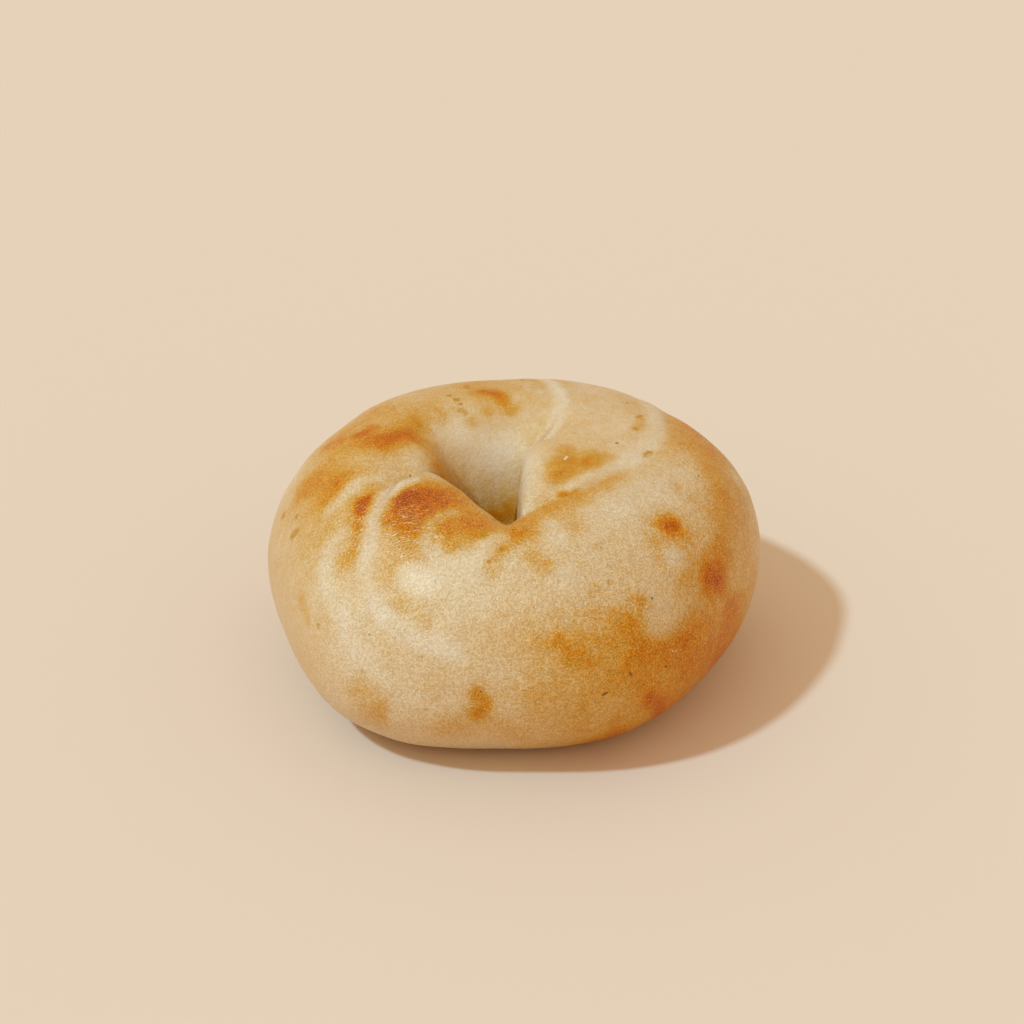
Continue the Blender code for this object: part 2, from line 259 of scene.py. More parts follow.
CREAM_AND_PAINTED_LIGHT = [
    # The bright band that curls from the left lip down the near side, and the fainter one outside it
    (0.78, 1.0 * MM, [
        (202.5, 110), (205.5, 102), (211, 91), (216, 82), (219.5, 74), (222.5, 68), (226, 58),
    ]),
    (0.85, 1.0 * MM, [(227, 58), (228, 53), (230, 48.5), (232.5, 44), (235, 40.5), (238, 36.5), (240, 33)]),
    (0.80, 1.3 * MM, [(240, 33), (243, 31), (246, 28.5), (250, 26), (257, 22)]),
    (0.52, 1.2 * MM, [(197, 78), (199, 72), (201, 66), (202, 58)]),
    (0.44, 1.2 * MM, [
        (214.5, 56), (214, 50), (216.5, 42.5), (219.5, 38), (222.5, 34), (225.5, 31), (229, 27),
    ]),
    (0.52, 1.4 * MM, [(229, 27), (232, 23), (236, 18), (240, 8), (242, 0)]),
    # Round the second patch, and below it a painted highlight: paler crust where the light gleams
    (0.42, 0.9 * MM, [(251, 103.5), (245.5, 99.5), (242.5, 90.5), (242, 81)]),
    (0.30, 1.0 * MM, [(242, 74), (245, 68), (249, 64), (253.5, 61.5), (258, 62), (261, 65)]),
    (0.46, 1.1 * MM, [(261, 65), (263, 72), (266, 79), (270, 80)]),
    # Painted highlight: the next two strokes pale the crust where the light gleams
    (0.90, 1.9 * MM, [(243, 53), (246, 51)]),
    (0.60, 1.3 * MM, [(248, 58), (251, 57)]),
    # Low on the near side
    (0.40, 3.6 * MM, [(232, 34), (232, 20), (232, 4), (229, -12)]),
    (0.30, 3.0 * MM, [(244, -10), (250, -22)]),
    (0.32, 6.5 * MM, [(252, 44), (262, 26), (252, 8)]),
    # Painted light: paler low on the near left, for light bounced up from the floor
    (0.35, 4.0 * MM, [(226, -28), (246, -38), (262, -40)]),
    # Pale places on the near right rim and over the right flank
    (0.45, 1.8 * MM, [(293, 84), (291, 78)]),
    (0.30, 2.6 * MM, [(318, 88), (324, 86)]),
    (0.30, 2.6 * MM, [(352, 70), (362, 68)]),
    (0.40, 1.8 * MM, [(285.5, 54)]),
    (0.50, 1.3 * MM, [(319, 47.5)]),
    (0.30, 2.4 * MM, [(339, 71)]),
    (0.35, 2.2 * MM, [(306, 26), (312, 28)]),
    (0.10, 6.0 * MM, [(262, 62), (284, 66), (300, 78)]),
    (0.30, 3.5 * MM, [(316, 80), (322, 76), (332, 75)]),
    (0.30, 3.0 * MM, [(310, 44), (316, 42), (311, 28)]),
    (0.10, 3.0 * MM, [(309, 33), (320, 28)]),
    # Bands on the right lobe, and the one along the far fold
    (0.55, 1.0 * MM, [(334, 103), (345, 99), (352, 93), (360, 87)]),
    (0.70, 1.3 * MM, [(360, 87), (368, 82), (378, 76), (388, 71), (396, 65), (404, 58)]),
    (0.92, 1.1 * MM, [(406, 108), (410, 100), (415, 92), (421, 86), (428, 80), (434, 73), (441, 64)]),
    (0.26, 2.6 * MM, [(398, 100), (406, 93)]),
    # The wall of the hole, and the rim left of it
    (0.50, 1.6 * MM, [(400, 122), (385, 124), (360, 126), (335, 124)]),
    # Partly painted light: the next two strokes pale the shaded far wall of the hole as if lit by bounced
    # light
    (0.68, 4.0 * MM, [(80, 118), (92, 116), (104, 116), (116, 113)]),
    (0.16, 4.0 * MM, [(78, 131), (92, 132), (106, 129)]),
    # Partly painted light: paler where the gutter lies in shade
    (0.36, 3.0 * MM, [(172, 112), (188, 116), (200, 113)]),
    (0.32, 3.0 * MM, [(180, 92), (190, 92), (197, 88)]),
    # The far flank
    (0.60, 1.2 * MM, [(81, 64), (96, 48), (112, 30), (124, 10)]),
    (0.60, 1.3 * MM, [(44, 58), (58, 52), (74, 30), (88, 6)]),
    (0.55, 1.2 * MM, [(8, 40), (20, 22), (32, 0)]),
    (0.50, 1.4 * MM, [(140, 44), (154, 34), (168, 10)]),
]
FLOURED = [
    (0.75, 7.0 * MM, [(300, 66), (318, 72), (334, 76)]),
    (0.70, 6.5 * MM, [(296, 50), (312, 46), (336, 62)]),
    (0.55, 4.5 * MM, [(308, 32), (318, 22)]),
    (0.45, 6.0 * MM, [(274, 62), (284, 46)]),
    (0.50, 1.5 * MM, [(352, 96), (366, 84), (384, 74), (400, 62)]),
    (0.30, 5.0 * MM, [(172, 114), (190, 112)]),
    (0.40, 6.0 * MM, [(60, 20), (100, 10)]),
]
TANNED_AND_PAINTED_LIGHT = [
    (0.65, 8.5 * MM, [(184, 22), (196, 4), (210, -4)]),
    (0.60, 3.4 * MM, [(230, 72), (233, 60), (232, 50)]),
    (0.45, 2.0 * MM, [(215, 66), (219, 57)]),
    (0.45, 6.0 * MM, [(212, 6), (224, -8)]),
    # Painted light: tan low on the near left, for light bounced up from the floor
    (0.60, 4.5 * MM, [(236, -28), (255, -32), (274, -32)]),
    (0.45, 5.5 * MM, [(330, 0), (340, -12), (322, -16)]),
    (0.40, 5.0 * MM, [(120, 74), (150, 72)]),
    (0.20, 6.0 * MM, [(394, 88), (412, 74)]),
    (0.45, 8.0 * MM, [(40, 0), (110, -6), (150, 8)]),
]
# Where the crust's fine net is faint
SMOOTHER = [
    (0.6, 10.0 * MM, [(368, 100), (400, 86), (430, 92)]),
    (0.6, 9.0 * MM, [(60, 140), (90, 138), (120, 130)]),
    (0.5, 10.0 * MM, [(180, 20), (206, 2)]),
    (0.3, 12.0 * MM, [(140, 60), (100, 30), (60, 20), (20, 10)]),
]
# Where it is wrinkled
WRINKLED = [
    (1.0, 4.2 * MM, [(227, 78), (231, 69), (234, 60), (234, 50)]),
    (0.8, 3.6 * MM, [(236, 80), (242, 72), (246, 66)]),
    (0.8, 2.4 * MM, [(215, 66), (221, 56)]),
    (0.6, 3.0 * MM, [(243, 42), (250, 38)]),
]
# Low ridges where the dough was stretched thin: height, half width and line
RIDGES = [
    (0.20 * MM, 1.1 * MM, [
        (200, 104), (207, 97), (212, 90), (217, 81), (222, 72), (225, 62), (229, 52), (236, 40),
    ]),
    (0.14 * MM, 1.2 * MM, [(236, 40), (241, 32), (247, 27), (256, 23), (264, 13)]),
    (0.12 * MM, 1.2 * MM, [(201, 70), (208, 52), (219, 39), (229, 20), (242, 3)]),
    (0.22 * MM, 0.9 * MM, [(318, 107), (326, 104), (336, 101), (345, 98), (352, 93)]),
    (0.16 * MM, 1.3 * MM, [(360, 87), (378, 76), (396, 65), (404, 58)]),
    (0.26 * MM, 1.0 * MM, [(410, 100), (421, 86), (434, 73)]),
]
# Tiny marks, each with its radius and its one or two ends: burnt specks, painted shade in a crease, bright
# flecks, golden spots
DARK_MARKS = [
    (0.20 * MM, (297.4, 7), (297.7, 6)), (0.14 * MM, (307.4, 3.6), (307.6, 2.8)),
    (0.17 * MM, (291, -1.4), (291.8, -0.8)), (0.16 * MM, (313.2, -6)), (0.15 * MM, (301, -1.5)),
    (0.16 * MM, (307, 36.8)), (0.22 * MM, (373.2, 91.5)), (0.14 * MM, (356, 61)), (0.15 * MM, (263, 4)),
    (0.13 * MM, (190.8, 110.5)), (0.12 * MM, (189.5, 116)), (0.13 * MM, (199, 102.8)),
    (0.13 * MM, (228.2, 51)), (0.14 * MM, (227.2, 32.5)), (0.13 * MM, (245, 30)), (0.12 * MM, (237.2, 24.5)),
    (0.16 * MM, (350.2, -10.8)), (0.17 * MM, (277, 86)), (0.16 * MM, (402, 72)), (0.18 * MM, (60, 30)),
    # Painted shade: the two marks of radius 0.07 mm below are a dark line along the crease by the near right
    # rim
    (0.18 * MM, (134, 22)), (0.16 * MM, (24, 10)), (0.07 * MM, (325.8, 107.2), (329, 104.4)),
    (0.07 * MM, (329, 104.4), (332.8, 101.4)),
]
PALE_MARKS = [
    (0.09 * MM, (233.8, 71.6), (237, 72.3)), (0.08 * MM, (228.4, 86.6), (231, 87.8)),
    (0.13 * MM, (216.2, 108.2)), (0.20 * MM, (362, 109.8), (365, 109.3)),
    (0.20 * MM, (259.8, 14.6), (263.6, 14)), (0.10 * MM, (309.4, 9.6), (311.2, 8)),
    (0.12 * MM, (257, 92)), (0.12 * MM, (254.4, 85)), (0.14 * MM, (353, 59)), (0.13 * MM, (345, 62)),
    (0.13 * MM, (313, 47)), (0.12 * MM, (249, 12)), (0.12 * MM, (295, 52)), (0.10 * MM, (300, 16.4)),
    (0.06 * MM, (318.5, 109.5), (326, 106.4)), (0.06 * MM, (326, 106.4), (334, 103)),
    (0.06 * MM, (334, 103), (341, 99.8)),
]
GOLD_MARKS = [
    (0.50 * MM, (106, 99), (108, 97.5)), (0.34 * MM, (108, 94.5)), (0.46 * MM, (110, 91.5)),
    (0.36 * MM, (113, 87)), (0.42 * MM, (105, 81), (105, 78)), (0.20 * MM, (83, 75), (85, 69)),
    (0.55 * MM, (362, 82), (364, 81)), (0.48 * MM, (339, 41)), (0.42 * MM, (223, 18)), (0.34 * MM, (237, 8)),
    (0.42 * MM, (191, 41)), (0.62 * MM, (196, 38), (195, 35)), (0.58 * MM, (184, 33)),
    (0.60 * MM, (264, 85), (264, 82)), (0.40 * MM, (297.3, 49.5)), (0.36 * MM, (313.5, -4), (314, -8)),
    (0.30 * MM, (390, 77), (391, 75)), (0.40 * MM, (382, 82)), (0.40 * MM, (268.8, 72)),
    (0.30 * MM, (264, 65)),
]
# A painted highlight, a soft gleam on the near left: radius and its two ends
PAINTED_HIGHLIGHT = [(1.9 * MM, (242.5, 53.5), (245, 51))]
# Marks fade from this share of their radius to one of the two edges, crisp or soft
MARK_CORE = 0.6
CRISP_EDGE = 1.3
SOFT_EDGE = 1.5

# Colours of the crust's surface as linear red, green and blue, from palest to darkest
BAKE_STEPS = [
    (0.00, (0.765, 0.628, 0.430)),
    (0.18, (0.702, 0.508, 0.272)),
    (0.34, (0.645, 0.382, 0.120)),
    (0.50, (0.610, 0.290, 0.036)),
    (0.66, (0.590, 0.198, 0.006)),
    (0.82, (0.510, 0.108, 0.002)),
    (1.00, (0.340, 0.050, 0.002)),
]
FLOUR_COLOUR = (0.635, 0.470, 0.280)
TAN_COLOUR = (0.690, 0.440, 0.205)
DARK_COLOUR = (0.140, 0.048, 0.012)
PALE_COLOUR = (0.860, 0.720, 0.500)
GOLD_COLOUR = (0.500, 0.222, 0.010)
SPECK_COLOUR = (0.300, 0.160, 0.060)
# Colour of the painted glints
PAINTED_GLINT_COLOUR = (0.860, 0.450, 0.050)
GLOSS_TINT = (1.0, 0.73, 0.22)

# How the strokes are drawn, and the crust's small unevenness: size, then reach or height
LINE_STEPS = 7
EDGE_START = 0.15
WANDERINGS = [(5 * MM, 0.6 * MM), (1.8 * MM, 0.4 * MM)]
WANDER_SEED = 5
LUMP_SIZE = 7 * MM
LUMP_HEIGHT = 0.16 * MM
DIMPLE_SIZE = 2.6 * MM
DIMPLE_HEIGHT = 0.035 * MM
RELIEF_HEIGHTS = (0.3 * MM, 3 * MM)

# How browned the crust is where no stroke is and on the foot, and its swells there: size and strength
PLAIN_BAKE = 0.18
PLAIN_SWELLS = (7 * MM, 0.07)
HALF_TONE_LOSS = 1.15
FOOT_BAKE = 0.52
FOOT_SWELLS = (5 * MM, 0.12)
FOOT_EDGE = (0.2 * MM, 1.8 * MM)

# Noises in the crust: swells to the metre, then detail, roughness and distortion
WIDE_NOISE = (210, 3.0, 0.55)
FINE_NOISE = (850, 4.0, 0.68, 0.4)
NET_NOISE = (2600, 1.0, 0.5)
GRAIN_NOISE = (5200, 1.0, 0.5)
DUST_NOISE = (1500, 3.0, 0.7)
SPECK_NOISE = (2100, 0.0)
WAVER_NOISE = (650, 2.0, 0.5)
BREAK_NOISE = (1100, 2.0, 0.5)
RAGGED_SCALE = 3000
RAGGED_REACH = 0.35 * MM
WRINKLE_MIDDLE = (244, 52.5)
WRINKLE_SPACING = 0.56 * MM
WRINKLE_WAVER = 2.4 * MM

# Between which two values of a noise a pattern comes in
CELL_EDGES = (-0.12, 0.12)
DUST_EDGES = (-0.15, 0.20)
SPOT_EDGES = (-0.3, 0.1)
SPECK_EDGES = (0.19, 0.28)
# Where the grain turns into painted glints
PAINTED_GLINT_EDGES = (0.08, 0.24)
BREAK_EDGES = (-0.10, 0.08)

# Between which two degrees of browning tan and flour go, and wrinkle highlights and glints, both painted,
# come
PALE_BAKE = (0.30, 0.62)
WRINKLE_HIGHLIGHT_RANGE = (0.15, 0.5)
PAINTED_GLINT_BAKE = (0.35, 0.7)

# What the patterns add to the browning. The fine noise adds most where the crust is half browned
MORE_BAKE = 0.035
WIDE_BAKE = 0.30
FINE_BAKE = 0.15
HALF_DONE_BAKE = 0.55
HALF_DONE_END = 1.25
CELL_BAKE = -0.05
# Wrinkle ridges made paler, a painted highlight
WRINKLE_HIGHLIGHT_BAKE = -0.28

# How strongly each colour is laid over the crust, and what the net and the grain do to its brightness
TAN_SHARE = 0.75
SPOT_SHARE = 0.9
# The next two shares lay painted highlights: the gleam and the wrinkle ridges
PAINTED_HIGHLIGHT_SHARE = 0.4
WRINKLE_HIGHLIGHT_SHARE = 0.22
SPECK_SHARE = 0.2
# Painted glints
PAINTED_GLINT_SHARE = 0.45
MARK_SHARE = 0.75
BRIGHTNESS = 0.95
CELL_BRIGHTNESS = 0.10
GRAIN_BRIGHTNESS = 0.32
BROWNED_GRAIN_BRIGHTNESS = 1.9

# Gloss and roughness, and how high the patterns stand
GLOSS = 0.28
ROUGHNESS = 0.36
FLOURED_ROUGHNESS = 0.14
FINE_ROUGHNESS = 0.2
FINE_HEIGHT = 0.15 * MM
CELL_HEIGHT = 0.022 * MM
GRAIN_HEIGHT = 0.03 * MM
WRINKLE_HEIGHT = 0.045 * MM
DARK_MARK_HEIGHT = -0.10 * MM
PALE_MARK_HEIGHT = 0.05 * MM

# The floor, the surroundings, the key light and the camera
FLOOR_SIZE = 4
FLOOR_COLOUR = (0.783, 0.638, 0.479)
FLOOR_ROUGHNESS = 0.9
SURROUNDINGS_COLOUR = (0.75, 0.60, 0.45)
SURROUNDINGS_STRENGTH = 1
KEY_COLOUR = (0.47, 0.74, 1.0)
KEY_STRENGTH = 2.1
KEY_ELEVATION = 53.5
KEY_AZIMUTH = 24
KEY_SOFTNESS = 4
CAMERA_PLACE = (-0.43 * MM, -309.52 * MM, 209.16 * MM)
CAMERA_PITCH = 31
CAMERA_LENS = 91.4
SENSOR_WIDTH = 36


def smooth(start, end, x):
    """Rises from 0 at start to 1 at end, level at both ends."""
    t = np.clip((x - start) / (end - start), 0, 1)
    return t * t * (3 - 2 * t)


def turn(degrees):
    """The same angle between -180 and 180."""
    return (degrees + 180) % 360 - 180


def follow(line, tube):
    """Ring angle, and its slope, where a line on the dough passes a tube angle."""
    at, angle = np.array(sorted(line), float).T
    lean = np.gradient(angle, at)
    tube = np.clip(tube, at[0], at[-1])
    k = np.clip(np.searchsorted(at, tube) - 1, 0, len(at) - 2)
    step = at[k + 1] - at[k]
    t = (tube - at[k]) / step
    start, end = angle[k], angle[k + 1]
    leave, arrive = lean[k] * step, lean[k + 1] * step
    value = start + t * leave + t**2 * (3 * (end - start) - 2 * leave - arrive)
    value += t**3 * (2 * (start - end) + leave + arrive)
    slope = leave + 2 * t * (3 * (end - start) - 2 * leave - arrive)
    slope += 3 * t**2 * (2 * (start - end) + leave + arrive)
    return value, slope / step


def outer_radius(ring):
    """Radius of the waist, the widest line round the outside."""
    angle = np.radians(ring)
    radius = np.full_like(ring, OUTER_RADIUS)
    for count, cosine, sine in OUTLINE_WAVES:
        radius += cosine * np.cos(count * angle) + sine * np.sin(count * angle)
    for place, bump in OUTLINE_BUMPS:
        radius += bump * np.exp(-(turn(ring - place) / BUMP_SPREAD) ** 2)
    return radius


def throat_radius(ring, tube):
    """Radius of the throat about its own middle, with the pocket that the right lobe hides."""
    past_valley = follow(VALLEY, tube)[0] - turn(ring)
    return follow(THROAT_RADII, (ring + 75) % 360 - 75)[0] + follow(POCKET, past_valley)[0]


def throat_share(tube):
    """How far a tube angle's circle has moved from the ring's middle to the throat's."""
    return smooth(50, 125, tube) * np.clip((270 - tube) / (90 - FOOT_TUBE_ANGLE), 0, 1)


def wall_roundness(ring, tube):
    """Exponent of the hole's wall. It jumps up at the valley and at the brink of the left fold."""
    crisp = smooth(104, 126, tube)
    past_valley = follow(VALLEY, tube)[0] - turn(ring)
    right = follow(RIGHT_SHELF, past_valley)[0] * (crisp + (1 - crisp) * smooth(0, 40, past_valley))
    deep = smooth(100, 126, tube)
    left = follow(LEFT_SHELF, ring % 360)[0] * (deep + (1 - deep) * smooth(130, 180, ring % 360))
    return FUNNEL_ROUNDNESS + right + left


def upper_section(ring, tube):
    """Radius and height of the dough above the waist."""
    angle = np.radians(ring)
    crest_radius = CREST_SHARE * outer_radius(ring)
    top = HEIGHT + FAR_SIDE_HIGHER * np.sin(angle)
    cosine, sine = np.cos(np.radians(tube)), np.sin(np.radians(tube))
    outside = cosine >= 0
    reach = np.where(outside, outer_radius(ring) - crest_radius, crest_radius - throat_radius(ring, tube))
    power = np.where(outside, TOP_ROUNDNESS, wall_roundness(ring, tube))
    size = (np.abs(cosine) / reach) ** power + (np.abs(sine) / (top - WAIST_HEIGHT)) ** power
    distance = size ** (-1 / power)
    return crest_radius + distance * cosine, WAIST_HEIGHT + distance * sine


def lower_section(ring, tube):
    """Radius and height below the waist: an arc in to the foot's rim, then the flat foot."""
    crest_radius = CREST_SHARE * outer_radius(ring)
    outside = np.cos(np.radians(tube)) >= 0
    side = np.where(outside, outer_radius(ring), throat_radius(ring, 180))
    rim = np.where(outside, FOOT_SHARE * outer_radius(ring), FOOT_HOLE_RADIUS)
    down = np.minimum(np.abs(turn(tube)), 180 - np.abs(turn(tube)))
    arc = np.radians(np.minimum(down / FOOT_TUBE_ANGLE, 1) * FOOT_ARC)
    last = np.radians(FOOT_ARC)
    drawn_in = (1 - np.cos(arc)) / (1 - np.cos(last))
    under = np.clip((down - FOOT_TUBE_ANGLE) / (90 - FOOT_TUBE_ANGLE), 0, 1)
    radius = side + (rim - side) * drawn_in + (crest_radius - rim) * under
    return radius, WAIST_HEIGHT * (1 - np.sin(arc) / np.sin(last))


def section(ring, tube):
    """Radius and height of the plain ring, before its folds."""
    tube = tube % 360
    above = (tube > 0) & (tube < 180)
    upper, lower = upper_section(ring, tube), lower_section(ring, tube)
    return np.where(above, upper[0], lower[0]), np.where(above, upper[1], lower[1])


def off_line(line, ring, tube, radius):
    """Distance from a line on the dough, positive on the side of larger ring angles."""
    angle, slope = follow(line, tube)
    gap = np.radians(turn(ring - angle))
    steepness = np.sqrt(1 / np.maximum(radius, SMALLEST_RING) ** 2 + (slope / TUBE_RADIUS) ** 2)
    return gap / steepness


def crease(line, ring, tube, radius, width, other_width=None):
    """1 along a line, falling off over the first width towards larger ring angles, else over the other."""
    off = off_line(line, ring, tube, radius)
    return np.exp(-np.abs(off) / np.where(off > 0, width, other_width or width))


def folds(ring, tube, radius):
    """How far the folds and the notch sink the surface."""
    tube = tube % 360
    in_hole = 1 - smooth(150, 200, tube)
    across = np.radians(turn(ring - follow(NOTCH, tube)[0])) * radius
    notch = np.exp(-np.hypot(across, NOTCH_ROUNDING) / NOTCH_REACH)
    sunk = NOTCH_DEPTH * notch * smooth(84, 112, tube) * in_hole
    outside, on_top, at_hole = NEAR_FOLD_DEPTHS
    near = outside + on_top * smooth(70, 96, tube) + at_hole * smooth(88, 114, tube)
    near *= smooth(20, 70, tube) * (1 - smooth(135, 160, tube))
    sunk += near * crease(NEAR_FOLD, ring, tube, radius, *NEAR_FOLD_SIDES)
    left = LEFT_FOLD_DEPTH * smooth(0, 70, tube) * in_hole
    sunk += left * crease(LEFT_FOLD, ring, tube, radius, LEFT_FOLD_SIDE)
    gutter = GUTTER_DEPTH * smooth(86, 112, tube) * in_hole
    sunk += gutter * crease(LEFT_FOLD, ring, tube, radius, *GUTTER_SIDES)
    far = FAR_FOLD_DEPTH * smooth(40, 100, tube) * in_hole
    return sunk + far * crease(FAR_FOLD, ring, tube, radius, FAR_FOLD_SIDE)


def dough(ring, tube):
    """The point of the surface at a ring angle and a tube angle."""
    radius, height = section(ring, tube)
    before = section(ring, tube - SECTION_STEP)
    after = section(ring, tube + SECTION_STEP)
    out, up = after[1] - before[1], before[0] - after[0]
    length = np.hypot(out, up)
    sunk = folds(ring, tube, radius)
    radius = radius - sunk * out / length
    height = np.maximum(height - sunk * up / length, 0)
    angle, share = np.radians(ring), throat_share(tube % 360)
    x = radius * np.cos(angle) + THROAT_X * share
    y = radius * np.sin(angle) + THROAT_Y * share
    return np.stack([x, y, height], axis=-1)


def middle_of_solid():
    """What the solid's points were moved by to stand over the origin."""
    rings = np.arange(SOLID_RING_STEPS) * 360 / SOLID_RING_STEPS
    tubes = np.arange(SOLID_TUBE_STEPS) * 360 / SOLID_TUBE_STEPS
    points = dough(*np.meshgrid(rings, tubes, indexing="ij")).reshape(-1, 3)
    middle = (points.min(axis=0) + points.max(axis=0)) / 2
    return middle * (1, 1, 0)


def dough_point(angles, middle):
    """The point at one pair of ring and tube angles."""
    ring, tube = angles
    return Vector(dough(np.array([ring % 360.0]), np.array([float(tube)]))[0] - middle)


def crust_grid():
    """Ring angles and tube angles of the crust's points."""
    tubes = []
    for (start, _), (end, steps) in zip(TUBE_STOPS, TUBE_STOPS[1:]):
        tubes.extend(np.linspace(start, end, steps, endpoint=False))
    rings = np.arange(RING_STEPS) * 360 / RING_STEPS
    return np.meshgrid(rings, np.array(tubes), indexing="ij")


def on_line(line, middle):
    """Points close together along a line of ring and tube angles."""
    angles = np.array(line, float)
    parts = [angles[:1]]
    for start, end in zip(angles, angles[1:]):
        parts.append(start + (end - start) * np.linspace(0, 1, LINE_STEPS)[1:, None])
    ring, tube = np.concatenate(parts).T
    return dough(ring % 360, tube) - middle


def nearness(points, line, middle, width):
    """1 on a line and near it, half at the width from it, 0 well away from it."""
    nearest = np.full(len(points), 1.0)
    for mark in on_line(line, middle):
        nearest = np.minimum(nearest, ((points - mark) ** 2).sum(axis=-1))
    return 1 - smooth(EDGE_START, 2 - EDGE_START, np.sqrt(nearest) / width)


def painted(points, strokes, middle):
    """What overlapping strokes add up to at each point, between 0 and 1."""
    bare = np.ones(len(points))
    for strength, width, line in strokes:
        bare *= 1 - strength * nearness(points, line, middle, width)
    return 1 - bare


def wander(points):
    """The points moved about a little, so that what is painted on them gets uneven edges."""
    noise.seed_set(WANDER_SEED)
    moved = points.copy()
    for size, reach in WANDERINGS:
        moved += reach * np.array([noise.noise_vector(point / size) for point in points])
    return moved


def unevenness(points, size, height):
    """Smooth noise, at most about the given height, whose swells have about the given size."""
    return height * np.array([noise.noise(point / size) for point in points])


def relief(points, middle):
    """Height of the low ridges and lumps over the plain dough."""
    height = unevenness(points, LUMP_SIZE, LUMP_HEIGHT) + unevenness(points, DIMPLE_SIZE, DIMPLE_HEIGHT)
    for rise, width, line in RIDGES:
        height += rise * nearness(points, line, middle, width)
    return height * smooth(*RELIEF_HEIGHTS, points[:, 2])


def outward(ring, tube):
    """Unit vectors square to the dough."""
    along_ring = dough(ring + DOUGH_STEP, tube) - dough(ring - DOUGH_STEP, tube)
    along_tube = dough(ring, tube + DOUGH_STEP) - dough(ring, tube - DOUGH_STEP)
    square = np.cross(along_ring, along_tube)
    return square / np.linalg.norm(square, axis=-1, keepdims=True)


def add_values(mesh, name, values):
    """Stores a value for each point of the mesh."""
    mesh.attributes.new(name, "FLOAT", "POINT").data.foreach_set("value", values)


def paint_crust(mesh, points, middle):
    """Stores how browned, floury, tanned, wrinkled and netted the crust is at each point, painted shade and
    light included.
    """
    moved = wander(points)
    browned_and_painted_light = painted(moved, BROWNED_AND_PAINTED_SHADE, middle) ** HALF_TONE_LOSS
    browned_and_painted_light = PLAIN_BAKE + (1 - PLAIN_BAKE) * browned_and_painted_light + unevenness(points, *PLAIN_SWELLS)
    # The cream strokes pale the browning, some as painted highlight and painted light
    browned_and_painted_light = browned_and_painted_light * (1 - painted((points + moved) / 2, CREAM_AND_PAINTED_LIGHT, middle))
    under = 1 - smooth(*FOOT_EDGE, points[:, 2])
    browned_and_painted_light = browned_and_painted_light + (FOOT_BAKE + unevenness(points, *FOOT_SWELLS) - browned_and_painted_light) * under
    add_values(mesh, "browned_and_painted_light", np.clip(browned_and_painted_light, 0, 1))
    add_values(mesh, "floured", painted(moved, FLOURED, middle) * (1 - under))
    add_values(mesh, "tanned_and_painted_light", painted(moved, TANNED_AND_PAINTED_LIGHT, middle) * (1 - under))
    add_values(mesh, "wrinkled", painted(moved, WRINKLED, middle))
    add_values(mesh, "netted", 1 - painted(points, SMOOTHER, middle))


def make_crust():
    """The crust's mesh, a closed grid round the ring and round the dough."""
    ring, tube = crust_grid()
    middle = middle_of_solid()
    points = dough(ring, tube) - middle
    flat = points.reshape(-1, 3)
    raised = outward(ring, tube).reshape(-1, 3) * relief(flat, middle)[:, None]
    points = (flat + raised).reshape(points.shape)
    rows, columns = ring.shape
    i, j = np.meshgrid(np.arange(rows), np.arange(columns), indexing="ij")
    i_next, j_next = (i + 1) % rows, (j + 1) % columns
    corners = [i * columns + j, i_next * columns + j, i_next * columns + j_next, i * columns + j_next]
    faces = np.stack(corners, axis=-1).reshape(-1, 4)
    mesh = bpy.data.meshes.new("bagel_crust")
    mesh.from_pydata(points.reshape(-1, 3).tolist(), [], faces.tolist())
    mesh.shade_smooth()
    paint_crust(mesh, flat, middle)
    crust = bpy.data.objects.new("bagel_crust", mesh)
    bpy.context.scene.collection.objects.link(crust)
    return crust


